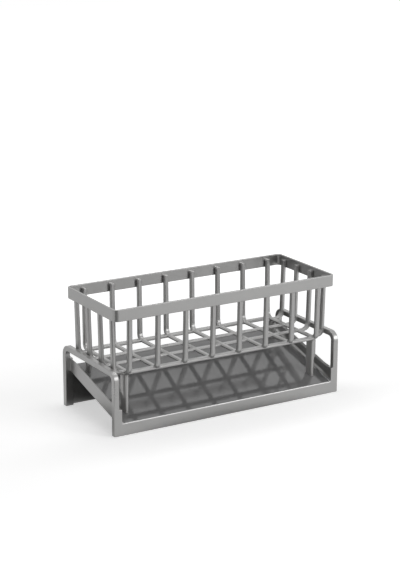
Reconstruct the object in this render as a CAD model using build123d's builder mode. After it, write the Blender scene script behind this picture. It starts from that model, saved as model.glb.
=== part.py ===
"""Kitchen sink caddy: a slatted basket on four plug-in legs, standing on a sloping drain tray.

X runs along the caddy, Y towards its back, Z up.  The origin is at the middle of its base,
on the surface that it stands on.  All lengths are in millimetres.
"""

from build123d import *
import math
import os

os.makedirs("parts", exist_ok=True)

# Drain tray, with its two end loops
tray_length = 304.0
tray_depth = 126.6
floor_front_height = 14.6
floor_back_height = 47.5
floor_thickness = 3.0
front_wall = 3.0
back_wall = 2.5
front_lip_round = 2.0
floor_cove = 4.5
side_wall = 2.2
side_bevel_share = 0.75
side_front_height = 30.8
side_front_run = 17.2
side_front_rise = 2.4
side_back_height = 58.6
side_back_run = 19.2
side_back_rise = 1.7
side_bend = 60.0
post_wall = 3.1
loop_height = 75.0
loop_width = 6.6
loop_bar = 6.4
loop_leg = 6.9
loop_outer_corner = 11.5
loop_inner_corner = 5.0
loop_chamfer = 0.7

# Basket
rim_end_inset = 4.1
rim_side_inset = 4.4
rim_top = 145.2
rim_height = 13.8
rim_wall = 2.6
rim_corner = 6.0
rim_chamfer = 0.4
bar_width = 6.0
bar_depth = 4.8
bar_chamfer = 1.2
bar_recess = 2.4
bar_top_drop = 4.0
side_bar_count = 8
side_row_inset = 21.05
side_foot_inset = 1.2
end_bar_count = 4
end_row_inset = 16.3
end_foot_inset = 1.6
bend_outer = 8.5
bend_inner = 7.0
grid_drop = 9.0
grid_thickness = 3.4
grid_chamfer = 0.8
grid_step = 0.3
rail_width = 7.0
rail_inset = 6.9

# Legs and the bosses that they plug into
boss_drop = 1.9
boss_diameter = 5.6
peg_diameter = 3.2
peg_length = 3.0
peg_clearance = 0.1
peg_end_clearance = 0.3
web_thickness = 4.1
web_front = 5.2
web_back = 8.2
web_round = 1.8
front_leg_narrowing = 1.0
rear_leg_narrowing = 5.0
wing_reach = 3.7
wing_thickness = 2.2
wing_height_share = 0.69
wing_taper_share = 0.64
wing_root_share = 0.7

half_length = tray_length / 2
half_depth = tray_depth / 2
inner_half = half_length - loop_width - side_wall
floor_slope = (floor_back_height - floor_front_height) / tray_depth
floor_drop = floor_thickness * math.hypot(1, floor_slope)


def floor_top(y):
    """Height of the tray's sloping floor at y."""
    return floor_front_height + floor_slope * (y + half_depth)


def floor_underside(y):
    """Height of the floor's underside at y."""
    return floor_top(y) - floor_drop


rail_y = half_depth - front_wall
back_y = half_depth - back_wall
post_y = half_depth - loop_leg
loop_inner_face = half_length - loop_width

# The side of the tray seen from its end: the top edge follows the floor and levels off at both ends
with BuildSketch(Plane.YZ) as side_outline:
    with BuildLine():
        top_edge = FilletPolyline(
            (-half_depth, side_front_height),
            (-half_depth + side_front_run, side_front_height + side_front_rise),
            (half_depth - side_back_run, side_back_height - side_back_rise),
            (half_depth, side_back_height),
            radius=side_bend,
        )
        Polyline(top_edge @ 1, (half_depth, 0), (-half_depth, 0), top_edge @ 0)
    make_face()

# The side wall is bevelled along the inside of its top, and open to the ground under the floor
with BuildPart() as right_wall:
    extrude(Pos(X=inner_half) * side_outline.sketch, amount=side_wall)
    top_faces = right_wall.faces().filter_by(lambda face: face.normal_at().Z > 0)
    inner_edges = right_wall.faces().sort_by(Axis.X)[0].edges()
    chamfer([edge for edge in top_faces.edges() if edge in inner_edges], side_bevel_share * side_wall)
    with BuildSketch(Plane.YZ.offset(inner_half)):
        with BuildLine():
            Polyline(
                (-post_y, 0),
                (post_y, 0),
                (post_y, floor_underside(post_y)),
                (-post_y, floor_underside(-post_y)),
                close=True,
            )
        make_face()
    extrude(amount=side_wall, mode=Mode.SUBTRACT)

# Two posts, thicker than the wall, join it to the legs of the loop
with BuildPart() as right_posts:
    extrude(Pos(X=loop_inner_face - post_wall) * side_outline.sketch, amount=post_wall + loop_chamfer)
    with Locations((loop_inner_face, 0, 0)):
        Box(
            2 * (post_wall + loop_chamfer),
            2 * post_y,
            side_back_height,
            align=(Align.CENTER, Align.CENTER, Align.MIN),
            mode=Mode.SUBTRACT,
        )

# The drain tray is built as its right half, and mirrored
with BuildPart() as drain_tray:
    # The end loop: an arch with bevelled edges, from the ground up
    with BuildSketch(Plane.YZ.offset(loop_inner_face)):
        with BuildLine():
            FilletPolyline(
                (-half_depth, 0),
                (-half_depth, loop_height),
                (half_depth, loop_height),
                (half_depth, 0),
                radius=loop_outer_corner,
            )
            Line((half_depth, 0), (-half_depth, 0))
        make_face()
        with BuildLine():
            FilletPolyline(
                (-post_y, 0),
                (-post_y, loop_height - loop_bar),
                (post_y, loop_height - loop_bar),
                (post_y, 0),
                radius=loop_inner_corner,
            )
            Line((post_y, 0), (-post_y, 0))
        make_face(mode=Mode.SUBTRACT)
    arch = extrude(amount=loop_width)
    arch_outline = arch.faces().filter_by(Axis.X).edges()
    chamfer(arch_outline - arch_outline.group_by(Axis.Z)[0], loop_chamfer)
    add(right_wall.part)
    add(right_posts.part)

    # The floor with the front and back walls that it stands on
    with BuildSketch(Plane.YZ) as floor_section:
        with BuildLine():
            Polyline(
                (-half_depth, floor_front_height),
                (-half_depth, 0),
                (-rail_y, 0),
                (-rail_y, floor_underside(-rail_y)),
                (back_y, floor_underside(back_y)),
                (back_y, 0),
                (half_depth, 0),
                (half_depth, floor_back_height),
                close=True,
            )
        make_face()
        fillet(floor_section.vertices().group_by(Axis.X)[0].sort_by(Axis.Y)[-1], front_lip_round)
    extrude(amount=inner_half)

    # A cove along the foot of the side wall, following the slope of the floor
    with BuildSketch(Plane.XZ.offset(half_depth)):
        with Locations((inner_half, floor_front_height)):
            Rectangle(floor_cove, floor_cove, align=(Align.MAX, Align.MIN))
        with Locations((inner_half - floor_cove, floor_front_height + floor_cove)):
            Circle(floor_cove, mode=Mode.SUBTRACT)
    extrude(amount=tray_depth * math.hypot(1, floor_slope), dir=(0, 1, floor_slope))

    mirror(about=Plane.YZ)

drain_tray.part.label = "drain_tray"
export_step(drain_tray.part, "parts/drain_tray.step")

# The basket's bars: each leans out a little from its foot, and bends into the grid below
rim_length = tray_length - 2 * rim_end_inset
rim_depth = tray_depth - 2 * rim_side_inset
bar_top = rim_top - bar_top_drop
grid_height = loop_height - grid_drop
grid_top = grid_height + grid_thickness
last_rib = rim_length / 2 - side_row_inset
last_row = rim_depth / 2 - end_row_inset
side_bar_pitch = 2 * last_rib / (side_bar_count - 1)
end_bar_pitch = 2 * last_row / (end_bar_count - 1)
side_face = rim_depth / 2 - bar_recess
end_face = rim_length / 2 - bar_recess

# A hoop is a front bar, the rib under the basket and a back bar in one
side_foot = side_face - side_foot_inset
with BuildPart() as hoop:
    with BuildSketch(Plane.YZ):
        with BuildLine():
            outside = FilletPolyline(
                (-side_face, bar_top),
                (-side_foot, grid_height),
                (side_foot, grid_height),
                (side_face, bar_top),
                radius=bend_outer,
            )
            inside = FilletPolyline(
                (-side_face + bar_depth, bar_top),
                (-side_foot + bar_depth, grid_top),
                (side_foot - bar_depth, grid_top),
                (side_face - bar_depth, bar_top),
                radius=bend_inner,
            )
            Line(outside @ 0, inside @ 0)
            Line(outside @ 1, inside @ 1)
        make_face()
    extrude(amount=bar_width / 2, both=True)
    chamfer(hoop.faces().filter_by(Axis.X).edges(), bar_chamfer)

# An end bar bends in to the last rib, a step thinner than the rib, and has a twin at the other end
cross_height = grid_height + grid_step
cross_top = grid_top - grid_step
end_foot = end_face - end_foot_inset
with BuildPart() as end_bars:
    with BuildSketch(Plane.XZ):
        with BuildLine():
            outside = FilletPolyline(
                (last_rib, cross_height),
                (end_foot, cross_height),
                (end_face, bar_top),
                radius=bend_outer,
            )
            inside = FilletPolyline(
                (last_rib, cross_top),
                (end_foot - bar_depth, cross_top),
                (end_face - bar_depth, bar_top),
                radius=bend_inner,
            )
            Line(outside @ 0, inside @ 0)
            Line(outside @ 1, inside @ 1)
        make_face()
    extrude(amount=bar_width / 2, both=True)
    chamfer(end_bars.faces().filter_by(Axis.Y).edges(), bar_chamfer)
    mirror(about=Plane.YZ)

# Rails close the grid along its front and back, and cross bars run between them
with BuildPart() as rail:
    with Locations((0, 0, grid_height)):
        Box(2 * last_rib, rail_width, grid_thickness, align=(Align.CENTER, Align.CENTER, Align.MIN))
    chamfer(rail.edges().filter_by(Axis.X), grid_chamfer)

with BuildPart() as cross_bar:
    with Locations((0, 0, cross_height)):
        Box(2 * last_rib, bar_width, cross_top - cross_height, align=(Align.CENTER, Align.CENTER, Align.MIN))
    chamfer(cross_bar.edges().filter_by(Axis.X), grid_chamfer)

rail_pitch = rim_depth - 2 * rail_inset - rail_width
bore_diameter = peg_diameter + 2 * peg_clearance

with BuildPart() as basket:
    with BuildSketch(Plane.XY.offset(rim_top - rim_height)):
        RectangleRounded(rim_length, rim_depth, rim_corner)
        offset(amount=-rim_wall, mode=Mode.SUBTRACT)
    extrude(amount=rim_height)
    chamfer(basket.faces().filter_by(Axis.Z).edges(), rim_chamfer)
    with GridLocations(side_bar_pitch, 0, side_bar_count, 1):
        add(hoop.part)
    with GridLocations(0, end_bar_pitch, 1, end_bar_count):
        add(end_bars.part)
    with GridLocations(0, end_bar_pitch, 1, end_bar_count - 2):
        add(cross_bar.part)
    with GridLocations(0, rail_pitch, 1, 2):
        add(rail.part)

    # Bosses under the grid's corners, bored for the pegs of the legs
    with BuildSketch(Plane.XY.offset(grid_height - boss_drop)):
        with GridLocations(2 * last_rib, 2 * last_row, 2, 2):
            Circle(boss_diameter / 2)
    extrude(amount=boss_drop + bar_chamfer)
    with BuildSketch(Plane.XY.offset(grid_height - boss_drop)):
        with GridLocations(2 * last_rib, 2 * last_row, 2, 2):
            Circle(bore_diameter / 2)
    extrude(amount=peg_length + peg_end_clearance, mode=Mode.SUBTRACT)

basket.part.label = "basket"
export_step(basket.part, "parts/basket.step")

# Legs: a web along the rib, an outward wing that fades down it, and a peg for the boss
leg_top = grid_height - boss_drop
leg_sides = {
    "front_left_leg": (-1, -1, front_leg_narrowing),
    "front_right_leg": (1, -1, front_leg_narrowing),
    "rear_left_leg": (-1, 1, rear_leg_narrowing),
    "rear_right_leg": (1, 1, rear_leg_narrowing),
}
for name, (x_side, y_side, narrowing) in leg_sides.items():
    front_edge = y_side * last_row - web_front
    back_edge = y_side * last_row + web_back
    foot_height = floor_top(y_side * last_row)
    wing_drop = wing_height_share * (leg_top - foot_height)
    wing_end = last_rib + web_thickness / 2 + wing_reach
    wing_root = last_rib + wing_root_share * web_thickness / 2
    with BuildPart() as leg:
        with BuildSketch(Plane.YZ.offset(x_side * last_rib)):
            with BuildLine():
                Polyline(
                    (front_edge, leg_top),
                    (back_edge, leg_top),
                    (back_edge, floor_top(back_edge)),
                    (front_edge + narrowing, floor_top(front_edge + narrowing)),
                    close=True,
                )
            make_face()
        extrude(amount=web_thickness / 2, both=True)
        fillet(leg.faces().filter_by(Axis.X).edges().sort_by(Axis.Z)[2:-2], web_round)
        with BuildSketch(Plane.XZ.offset(-y_side * last_row)):
            with BuildLine():
                Polyline(
                    (x_side * last_rib, leg_top),
                    (x_side * wing_end, leg_top),
                    (x_side * wing_end, leg_top - wing_taper_share * wing_drop),
                    (x_side * wing_root, leg_top - wing_drop),
                    (x_side * last_rib, leg_top - wing_drop),
                    close=True,
                )
            make_face()
        extrude(amount=wing_thickness / 2, both=True)
        with BuildSketch(Plane.XY.offset(leg_top)):
            with Locations((x_side * last_rib, y_side * last_row)):
                Circle(peg_diameter / 2)
        extrude(amount=peg_length)
    leg.part.label = name
    export_step(leg.part, f"parts/{name}.step")
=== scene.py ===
"""Looks for the sink caddy: grey moulded plastic on the CAD pieces, a pale studio and its camera."""

from math import radians

import bpy
from mathutils import Matrix, Vector


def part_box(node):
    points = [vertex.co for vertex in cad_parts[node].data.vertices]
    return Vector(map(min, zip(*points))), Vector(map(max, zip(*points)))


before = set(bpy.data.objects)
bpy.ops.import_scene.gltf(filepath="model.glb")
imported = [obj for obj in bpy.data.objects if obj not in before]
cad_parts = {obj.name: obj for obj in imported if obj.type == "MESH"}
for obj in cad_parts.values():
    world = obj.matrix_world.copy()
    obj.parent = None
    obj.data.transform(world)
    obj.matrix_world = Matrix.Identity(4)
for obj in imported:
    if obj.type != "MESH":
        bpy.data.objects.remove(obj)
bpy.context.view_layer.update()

# Drain tray
# One moulding of grey plastic: satin walls and loops, and a polished sloping floor that
# mirrors the basket above it. The floor is painted a darker grey, as painted shade from the basket.
# Metallic pigment gives the grey its soft, silvery sheen.
PLASTIC_GREY = (0.355, 0.353, 0.349)
PLASTIC_IOR = 1.49
PIGMENT_SHEEN = 0.7
SATIN_ROUGHNESS = 0.29
ROUGHNESS_DRIFT = 0.04
FLECK_SCALE = 2600.0
FLECK_DETAIL = 2.0
FLECK_CONTRAST = 0.07
DRIFT_SCALE = 22.0
DRIFT_DETAIL = 3.0
DRIFT_CONTRAST = 0.03
GRAIN_SCALE = 4200.0
GRAIN_DETAIL = 1.0
GRAIN_STRENGTH = 0.12
GRAIN_HEIGHT = 0.00005
EDGE_SOFTNESS = 0.0006
EDGE_SAMPLES = 8


def add_node(tree, kind, **values):
    """A shader node with its named inputs set."""
    node = tree.nodes.new(kind)
    for name, value in values.items():
        node.inputs[name.replace("_", " ")].default_value = value
    return node


def combine(tree, operation, *terms):
    """One math operation on one or two terms, each of them an output of a node or a number."""
    math = tree.nodes.new("ShaderNodeMath")
    math.operation = operation
    for term, socket in zip(terms, math.inputs):
        if isinstance(term, bpy.types.NodeSocket):
            tree.links.new(term, socket)
        else:
            socket.default_value = term
    return math.outputs["Value"]


def spread(tree, source, start, end):
    """An even change from start to end as the source goes from 0 to 1."""
    change = add_node(tree, "ShaderNodeMapRange", To_Min=start, To_Max=end)
    tree.links.new(source, change.inputs["Value"])
    return change.outputs["Result"]


def cloud(tree, place, scale, detail):
    """A soft random pattern that stays with the piece."""
    noise = add_node(tree, "ShaderNodeTexNoise", Scale=scale, Detail=detail)
    tree.links.new(place, noise.inputs["Vector"])
    return noise.outputs["Fac"]


def satin_plastic(name, grey, roughness):
    """Moulded grey plastic with pigment fleck, soft colour drift, soft edges and a fine eroded texture."""
    material = bpy.data.materials.new(name)
    material.use_nodes = True
    tree = material.node_tree
    shader = tree.nodes["Principled BSDF"]
    shader.inputs["IOR"].default_value = PLASTIC_IOR
    shader.inputs["Metallic"].default_value = PIGMENT_SHEEN
    place = tree.nodes.new("ShaderNodeTexCoord").outputs["Object"]

    fleck = cloud(tree, place, FLECK_SCALE, FLECK_DETAIL)
    fleck_tone = spread(tree, fleck, 1 - FLECK_CONTRAST, 1 + FLECK_CONTRAST)
    drift = cloud(tree, place, DRIFT_SCALE, DRIFT_DETAIL)
    drift_tone = spread(tree, drift, 1 - DRIFT_CONTRAST, 1 + DRIFT_CONTRAST)
    colour = tree.nodes.new("ShaderNodeMix")
    colour.data_type = "RGBA"
    colour.blend_type = "MULTIPLY"
    colour.inputs["Factor"].default_value = 1.0
    colour.inputs["A"].default_value = (*grey, 1.0)
    tree.links.new(combine(tree, "MULTIPLY", fleck_tone, drift_tone), colour.inputs["B"])
    tree.links.new(colour.outputs["Result"], shader.inputs["Base Color"])

    sheen = spread(tree, drift, roughness - ROUGHNESS_DRIFT, roughness + ROUGHNESS_DRIFT)
    tree.links.new(sheen, shader.inputs["Roughness"])

    grain = cloud(tree, place, GRAIN_SCALE, GRAIN_DETAIL)
    soft_edge = add_node(tree, "ShaderNodeBevel", Radius=EDGE_SOFTNESS)
    soft_edge.samples = EDGE_SAMPLES
    bump = add_node(tree, "ShaderNodeBump", Strength=GRAIN_STRENGTH, Distance=GRAIN_HEIGHT)
    tree.links.new(grain, bump.inputs["Height"])
    tree.links.new(soft_edge.outputs["Normal"], bump.inputs["Normal"])
    tree.links.new(bump.outputs["Normal"], shader.inputs["Normal"])
    return material


# The floor's darker grey is painted shade: the same plastic, darkened where the basket above shades it.
FLOOR_PAINTED_SHADE_GREY = (0.220, 0.220, 0.220)
FLOOR_ROUGHNESS = 0.05
FLOOR_SHEEN = 0.15
WALL_INSET = 0.0097
LEAST_UPWARD = 0.7


def shade_and_polish_floor(material, half_width):
    """Paints shade on the upward faces between the side walls, the tray's floor, as a darker grey, and
    polishes them.
    """
    tree = material.node_tree
    shader = tree.nodes["Principled BSDF"]
    place = tree.nodes.new("ShaderNodeTexCoord")
    across = tree.nodes.new("ShaderNodeSeparateXYZ")
    tree.links.new(place.outputs["Object"], across.inputs["Vector"])
    facing = tree.nodes.new("ShaderNodeSeparateXYZ")
    tree.links.new(place.outputs["Normal"], facing.inputs["Vector"])
    between_walls = combine(tree, "LESS_THAN", combine(tree, "ABSOLUTE", across.outputs["X"]), half_width)
    upward = combine(tree, "GREATER_THAN", facing.outputs["Z"], LEAST_UPWARD)
    floor_mask = combine(tree, "MULTIPLY", between_walls, upward)

    # The floor's grey is painted shade; its roughness and metallic are its real polish.
    for name, kind, painted_shade_and_polish in (("Base Color", "RGBA", (*FLOOR_PAINTED_SHADE_GREY, 1.0)),
                                 ("Roughness", "FLOAT", FLOOR_ROUGHNESS),
                                 ("Metallic", "FLOAT", FLOOR_SHEEN)):
        socket = shader.inputs[name]
        mix = tree.nodes.new("ShaderNodeMix")
        mix.data_type = kind
        tree.links.new(floor_mask, mix.inputs["Factor"])
        if socket.is_linked:
            tree.links.new(socket.links[0].from_socket, mix.inputs["A"])
        else:
            mix.inputs["A"].default_value = socket.default_value
        mix.inputs["B"].default_value = painted_shade_and_polish
        tree.links.new(mix.outputs["Result"], socket)


def dress(name, material):
    """Gives a CAD piece one material all over."""
    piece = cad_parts[name]
    piece.data.materials.clear()
    piece.data.materials.append(material)


tray_low, tray_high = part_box("drain_tray")
tray_plastic = satin_plastic("tray_plastic", PLASTIC_GREY, SATIN_ROUGHNESS)
shade_and_polish_floor(tray_plastic, tray_high.x - WALL_INSET)
dress("drain_tray", tray_plastic)

# Basket
# One moulding in the same grey: a plain rim band over slim bars that bend in to the grid
# floor. It has the same eroded satin all over, and lifts off the tray with its legs.
dress("basket", satin_plastic("basket_plastic", PLASTIC_GREY, SATIN_ROUGHNESS))

# Legs
# Four small mouldings in a slightly lighter grey, painted light that brightens their shaded sides, with a
# more matt skin.
# Their pegs are pushed into the bosses under the basket's corners.
# The lighter grey is painted light on the legs' shaded sides.
LEG_PAINTED_LIGHT_GREY = (0.400, 0.398, 0.392)
LEG_ROUGHNESS = 0.50

leg_plastic = satin_plastic("leg_plastic", LEG_PAINTED_LIGHT_GREY, LEG_ROUGHNESS)
for leg in ("front_left_leg", "front_right_leg", "rear_left_leg", "rear_right_leg"):
    dress(leg, leg_plastic)

# Table
# White paper, a little greyer around the caddy, with a painted shade in an oval just before it. Mirrored
# in the plastic it glows as a painted reflection, but not close to the caddy nor in two patches, which are
# painted shadow there.
TABLE_SIZE = 8.0
PAPER_ROUGHNESS = 0.9
PAPER_TONE = 0.85
PAINTED_SHADOW_TONE = 0.05
FAR_OVAL = dict(centre=(0.0, 0.0), scale=(1.0, 2.4), inner=0.3, outer=1.6, least=0.55, most=1.0)
# Painted shade: the table's white dims in an oval just before the caddy.
FRONT_PAINTED_SHADE_OVAL = dict(centre=(0.0, -0.08), scale=(0.5, 2.0), inner=0.03, outer=0.17, least=0.75, most=1.0)
# Painted reflection: the table glows in the plastic, with painted shadow where this glow is left out close
# to the caddy.
NEAR_PAINTED_GLOW_OVAL = dict(centre=(0.0, 0.0), scale=(1.0, 2.4), inner=0.155, outer=0.23, least=0.0, most=0.62)
# Two patches of painted shadow in the table's reflection, behind the caddy and at its left front.
BACK_PAINTED_SHADOW_PATCH = dict(centre=(0.02, 0.32), scale=(1.0, 0.95), inner=0.20, outer=0.28, least=0.0, most=1.0)
LEFT_PAINTED_SHADOW_PATCH = dict(centre=(-0.45, -0.36), scale=(0.5, 0.85), inner=0.15, outer=0.20, least=0.0, most=1.0)


def oval_rise(tree, place, centre, scale, inner, outer, least, most):
    """A smooth rise from least, inside an inner oval on the table, to most, outside an outer one.

    The radii are in metres, and the distance from the centre is multiplied by scale in X and Y.
    """
    oval = tree.nodes.new("ShaderNodeVectorMath")
    oval.operation = "MULTIPLY_ADD"
    oval.inputs[1].default_value = (*scale, 1.0)
    oval.inputs[2].default_value = (-centre[0] * scale[0], -centre[1] * scale[1], 0.0)
    tree.links.new(place, oval.inputs[0])
    away = tree.nodes.new("ShaderNodeVectorMath")
    away.operation = "LENGTH"
    tree.links.new(oval.outputs["Vector"], away.inputs[0])
    rise = add_node(tree, "ShaderNodeMapRange", From_Min=inner, From_Max=outer, To_Min=least, To_Max=most)
    rise.interpolation_type = "SMOOTHSTEP"
    tree.links.new(away.outputs["Value"], rise.inputs["Value"])
    return rise.outputs["Result"]


bpy.ops.mesh.primitive_plane_add(size=TABLE_SIZE, location=(0, 0, 0))
studio_floor = bpy.context.object
studio_floor.name = "studio_floor"
white_paper = bpy.data.materials.new("studio_white")
white_paper.use_nodes = True
tree = white_paper.node_tree
paper = tree.nodes["Principled BSDF"]
paper.inputs["Roughness"].default_value = PAPER_ROUGHNESS
paper.inputs["Specular IOR Level"].default_value = 0.0
paper.inputs["Emission Color"].default_value = (1, 1, 1, 1)

place = tree.nodes.new("ShaderNodeTexCoord").outputs["Object"]
ray = tree.nodes.new("ShaderNodeLightPath")
# Camera rays: the white glow, with the painted shade before the caddy.
white = combine(tree, "MULTIPLY", oval_rise(tree, place, **FAR_OVAL), oval_rise(tree, place, **FRONT_PAINTED_SHADE_OVAL))
seen = combine(tree, "MULTIPLY", ray.outputs["Is Camera Ray"], white)
# Glossy rays: painted reflection glow, left out near the caddy and in the painted shadow patches, where
# the paper is also darkened.
outside_painted_shadow = combine(tree, "MULTIPLY", oval_rise(tree, place, **BACK_PAINTED_SHADOW_PATCH), oval_rise(tree, place, **LEFT_PAINTED_SHADOW_PATCH))
clear = combine(tree, "MULTIPLY", oval_rise(tree, place, **NEAR_PAINTED_GLOW_OVAL), outside_painted_shadow)
painted_reflection_glow = combine(tree, "MULTIPLY", ray.outputs["Is Glossy Ray"], clear)
tree.links.new(combine(tree, "ADD", seen, painted_reflection_glow), paper.inputs["Emission Strength"])
painted_shadow = combine(tree, "MULTIPLY", ray.outputs["Is Glossy Ray"], combine(tree, "SUBTRACT", 1.0, outside_painted_shadow))
tree.links.new(spread(tree, painted_shadow, PAPER_TONE, PAINTED_SHADOW_TONE), paper.inputs["Base Color"])
studio_floor.data.materials.append(white_paper)

# Room and lamps
# The room is white to the eye and in the plastic, but lights almost nothing. The light
# comes from a lamp at the front right, a faint one at the back left and a broad one above.
ROOM_LIGHT = 0.08
ROOM_WHITE = 1.0
CADDY_MIDDLE = (0, 0, 0.08)

world = bpy.data.worlds.new("studio")
bpy.context.scene.world = world
world.use_nodes = True
tree = world.node_tree
surround = tree.nodes["Background"]
surround.inputs["Color"].default_value = (1, 1, 1, 1)
ray = tree.nodes.new("ShaderNodeLightPath")
direct = combine(tree, "MAXIMUM", ray.outputs["Is Camera Ray"], ray.outputs["Is Glossy Ray"])
tree.links.new(spread(tree, direct, ROOM_LIGHT, ROOM_WHITE), surround.inputs["Strength"])


def soft_box(name, place, target, size, power):
    """A rectangular lamp at place, aimed at target, in metres and watts."""
    light = bpy.data.lights.new(name, "AREA")
    light.shape = "RECTANGLE"
    light.size, light.size_y = size
    light.energy = power
    lamp = bpy.data.objects.new(name, light)
    bpy.context.scene.collection.objects.link(lamp)
    lamp.location = place
    lamp.rotation_euler = (Vector(target) - Vector(place)).to_track_quat("-Z", "Y").to_euler()


soft_box("front_right", place=(0.95, -1.35, 0.75), target=CADDY_MIDDLE, size=(0.9, 0.9), power=10)
soft_box("back_left", place=(-1.45, 0.75, 0.75), target=CADDY_MIDDLE, size=(0.9, 0.9), power=1)
soft_box("top", place=(0.1, 0.1, 1.5), target=(0, 0, 0), size=(1.2, 0.9), power=9)

# Camera
# It stands at the front left, a little above the caddy, with a long lens. Its place, angles
# and lens were fitted to the photo.
LENS = 104.69
SENSOR_WIDTH = 36.0
CAMERA_PLACE = (-0.9695, -1.5922, 0.6600)
TURN = radians(-31.254)
LOOK_DOWN = radians(15.603)
ROLL = radians(0.158)

view = bpy.data.cameras.new("photo_view")
view.lens = LENS
view.sensor_width = SENSOR_WIDTH
camera = bpy.data.objects.new("photo_view", view)
bpy.context.scene.collection.objects.link(camera)
turn = Matrix.Rotation(TURN, 3, "Z")
tilt = Matrix.Rotation(radians(90) - LOOK_DOWN, 3, "X")
roll = Matrix.Rotation(ROLL, 3, "Z")
camera.rotation_euler = (turn @ tilt @ roll).to_euler()
camera.location = CAMERA_PLACE
bpy.context.scene.camera = camera
bpy.context.scene.view_settings.view_transform = "Standard"
